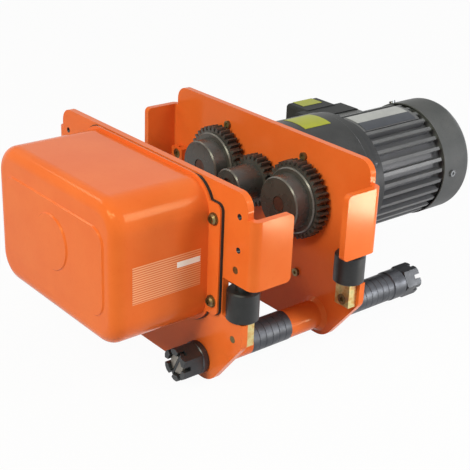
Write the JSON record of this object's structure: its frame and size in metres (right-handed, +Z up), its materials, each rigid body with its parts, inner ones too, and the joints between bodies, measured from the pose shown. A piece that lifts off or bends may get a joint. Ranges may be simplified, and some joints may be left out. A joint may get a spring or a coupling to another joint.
{
  "type": "motorized beam trolley",
  "caption": "Motor-driven trolley that runs on an I-beam's lower flange, with geared wheels, guide rollers, adjustable tie shafts and a control box.",
  "frame": {"origin": "middle between the side plates, on the running surface of the beam flange", "axes": "+X across the beam towards the motor, +Y along the beam, +Z up"},
  "size_m": [0.6095, 0.38, 0.2415],
  "materials": {
    "orange_paint": "gloss orange powder coat",
    "dark_paint": "semi-gloss dark grey paint",
    "oiled_steel": "dark oiled machined steel",
    "black_oxide": "satin black oxide",
    "roller_steel": "satin black",
    "yellow_zinc": "yellow-chromated zinc",
    "bright_steel": "bare machined steel",
    "core_steel": "varnished sheet stack",
    "copper_wire": "varnished copper",
    "black_rubber": "matte black",
    "black_plastic": "moulded black",
    "grey_plastic": "moulded grey"
  },
  "bodies": {
    "trolley": {"motor_side_plate": "orange_paint", "control_side_plate": "orange_paint", "spacer_tubes": "orange_paint", "inner_sleeves": "orange_paint", "control_cover": "orange_paint", "upper_roller_blocks": "orange_paint", "gear_case": "dark_paint", "gear_case_lid": "dark_paint", "motor_front_shield": "dark_paint", "motor_frame": "dark_paint", "motor_rear_shield": "dark_paint", "fan_cover": "dark_paint", "terminal_box": "dark_paint", "terminal_lid": "dark_paint", "castle_nuts": "black_oxide", "outer_sleeves": "black_oxide", "inner_washers": "black_oxide", "outer_washers": "black_oxide", "thick_washers": "black_oxide", "split_pins": "black_oxide", "gear_lid_bolts": "black_oxide", "fan_cover_screws": "black_oxide", "terminal_screws": "black_oxide", "lower_roller_blocks": "yellow_zinc", "block_screws": "yellow_zinc", "gear_case_screws": "yellow_zinc", "cover_screws": "yellow_zinc", "tie_shafts": "bright_steel", "wheel_axles": "bright_steel", "axle_rings": "bright_steel", "wheel_bearings": "bright_steel", "roller_pins": "bright_steel", "gear_bearings": "bright_steel", "motor_bearings": "bright_steel", "mounting_tray": "bright_steel", "tray_posts": "bright_steel", "stator_core": "core_steel", "transformer": "core_steel", "stator_winding": "copper_wire", "cover_gasket": "black_rubber", "contactors": "black_plastic", "cable_glands": "black_plastic", "terminal_strip": "grey_plastic"},
    "rotor": {"motor_shaft": "bright_steel", "rotor_core": "core_steel", "cooling_fan": "black_plastic"},
    "intermediate": {"intermediate_shaft": "bright_steel", "intermediate_gear": "bright_steel"},
    "output": {"pinion_shaft": "oiled_steel", "output_gear": "bright_steel"},
    "drive_wheel_near": {"drive_wheel_near": "oiled_steel"},
    "drive_wheel_far": {"drive_wheel_far": "oiled_steel"},
    "idler_wheel_near": {"idler_wheel_near": "oiled_steel"},
    "idler_wheel_far": {"idler_wheel_far": "oiled_steel"},
    "guide_roller_motor_near": {"guide_roller_motor_near": "roller_steel"},
    "guide_roller_motor_far": {"guide_roller_motor_far": "roller_steel"},
    "guide_roller_control_near": {"guide_roller_control_near": "roller_steel"},
    "guide_roller_control_far": {"guide_roller_control_far": "roller_steel"}
  },
  "joints": [
    {"name": "rotor_spin", "type": "hinge", "parent": "trolley", "child": "rotor", "pos_m": [0.25, 0, 0.0074], "axis": [1, 0, 0], "continuous": true},
    {"name": "intermediate_spin", "type": "hinge", "parent": "trolley", "child": "intermediate", "pos_m": [0.137, 0.04486, 0.01092], "axis": [1, 0, 0], "continuous": true},
    {"name": "output_spin", "type": "hinge", "parent": "trolley", "child": "output", "pos_m": [0.1, 0, 0.033], "axis": [1, 0, 0], "continuous": true},
    {"name": "drive_wheel_near_spin", "type": "hinge", "parent": "trolley", "child": "drive_wheel_near", "pos_m": [0.06, -0.075, 0.033], "axis": [1, 0, 0], "continuous": true},
    {"name": "idler_wheel_near_spin", "type": "hinge", "parent": "trolley", "child": "idler_wheel_near", "pos_m": [-0.06, -0.075, 0.033], "axis": [1, 0, 0], "continuous": true},
    {"name": "drive_wheel_far_spin", "type": "hinge", "parent": "trolley", "child": "drive_wheel_far", "pos_m": [0.06, 0.075, 0.033], "axis": [1, 0, 0], "continuous": true},
    {"name": "idler_wheel_far_spin", "type": "hinge", "parent": "trolley", "child": "idler_wheel_far", "pos_m": [-0.06, 0.075, 0.033], "axis": [1, 0, 0], "continuous": true},
    {"name": "guide_roller_motor_near_spin", "type": "hinge", "parent": "trolley", "child": "guide_roller_motor_near", "pos_m": [0.0795, -0.1615, -0.02], "axis": [0, 0, 1], "continuous": true},
    {"name": "guide_roller_motor_far_spin", "type": "hinge", "parent": "trolley", "child": "guide_roller_motor_far", "pos_m": [0.0795, 0.1615, -0.02], "axis": [0, 0, 1], "continuous": true},
    {"name": "guide_roller_control_near_spin", "type": "hinge", "parent": "trolley", "child": "guide_roller_control_near", "pos_m": [-0.0795, -0.1615, -0.02], "axis": [0, 0, 1], "continuous": true},
    {"name": "guide_roller_control_far_spin", "type": "hinge", "parent": "trolley", "child": "guide_roller_control_far", "pos_m": [-0.0795, 0.1615, -0.02], "axis": [0, 0, 1], "continuous": true}
  ],
  "couplings": [
    {"joint": "intermediate_spin", "follows": "rotor_spin", "ratio": -0.33333},
    {"joint": "output_spin", "follows": "rotor_spin", "ratio": 0.12963},
    {"joint": "drive_wheel_near_spin", "follows": "rotor_spin", "ratio": -0.08642},
    {"joint": "drive_wheel_far_spin", "follows": "rotor_spin", "ratio": -0.08642}
  ]
}
